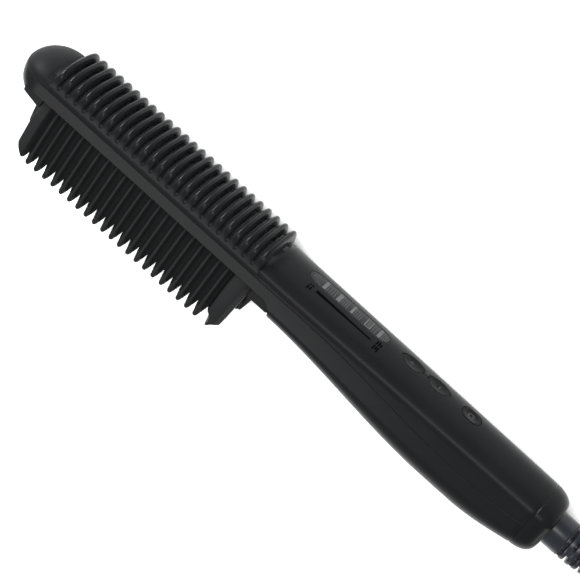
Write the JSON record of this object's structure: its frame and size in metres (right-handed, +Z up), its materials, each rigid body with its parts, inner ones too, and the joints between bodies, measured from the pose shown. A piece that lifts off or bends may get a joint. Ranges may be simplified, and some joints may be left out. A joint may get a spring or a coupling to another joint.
{
  "type": "hot comb",
  "caption": "Electric hot comb with a ribbed round-nosed head, guarded heated teeth, display, three push keys, swivel cord and two-pin plug.",
  "frame": {"origin": "centre of the comb's print on the surface it lies on, on its side, without the cord and plug", "axes": "+X along the handle from the nose to the cord, +Y towards the fins, +Z up from the side it lies on"},
  "size_m": [0.6296, 0.0474, 0.032],
  "materials": {
    "housing": "soft matt black",
    "guard": "dark matt moulding",
    "heated": "black coated",
    "ceramic": "white fired",
    "mica": "mica sheet",
    "spring": "sprung sheet",
    "bead": "glass bead",
    "fuse": "drawn case",
    "screw": "zinc plated",
    "board": "solder mask",
    "component": "moulded packages",
    "switch": "moulded",
    "module": "light box",
    "window": "smoked window",
    "key": "glossy black",
    "contact": "glass filled block",
    "lead": "glass sleeved wire",
    "wire": "sleeved wire",
    "collar": "polished blue black",
    "relief": "satin",
    "cord": "satin sheath",
    "tie": "band",
    "plug": "moulded plug",
    "pin": "nickel plated"
  },
  "bodies": {
    "comb_body": {"upper_housing": "housing", "lower_housing": "housing", "end_cap": "housing", "guard_comb": "guard", "heated_comb": "heated", "ceramic_heater": "ceramic", "mica_sheet": "mica", "heater_clamp": "spring", "thermistor": "bead", "thermal_fuse": "fuse", "comb_screws": "screw", "main_board": "board", "board_parts": "component", "board_screws": "screw", "tact_switches": "switch", "display_module": "module", "display_window": "window", "contact_block": "contact", "heater_leads": "lead", "supply_leads": "wire", "cord": "cord", "cord_hank": "cord", "cord_tail": "cord", "hank_tie": "tie", "plug_relief": "plug", "plug_body": "plug", "plug_pins": "pin"},
    "plus_key": {"plus_key": "key"},
    "minus_key": {"minus_key": "key"},
    "power_key": {"power_key": "key"},
    "swivel": {"swivel_collar": "collar", "strain_relief": "relief"}
  },
  "joints": [
    {"name": "plus_key_press", "type": "slide", "parent": "comb_body", "child": "plus_key", "axis": [0, -1, 0], "range_m": [0, 0.0003], "stiffness_N_per_m": 900},
    {"name": "minus_key_press", "type": "slide", "parent": "comb_body", "child": "minus_key", "axis": [0, -1, 0], "range_m": [0, 0.0003], "stiffness_N_per_m": 900},
    {"name": "power_key_press", "type": "slide", "parent": "comb_body", "child": "power_key", "axis": [0, -1, 0], "range_m": [0, 0.0003], "stiffness_N_per_m": 900},
    {"name": "swivel_turn", "type": "hinge", "parent": "comb_body", "child": "swivel", "pos_m": [0.1171, 0.0073, 0.016], "axis": [1, 0, 0], "continuous": true}
  ]
}
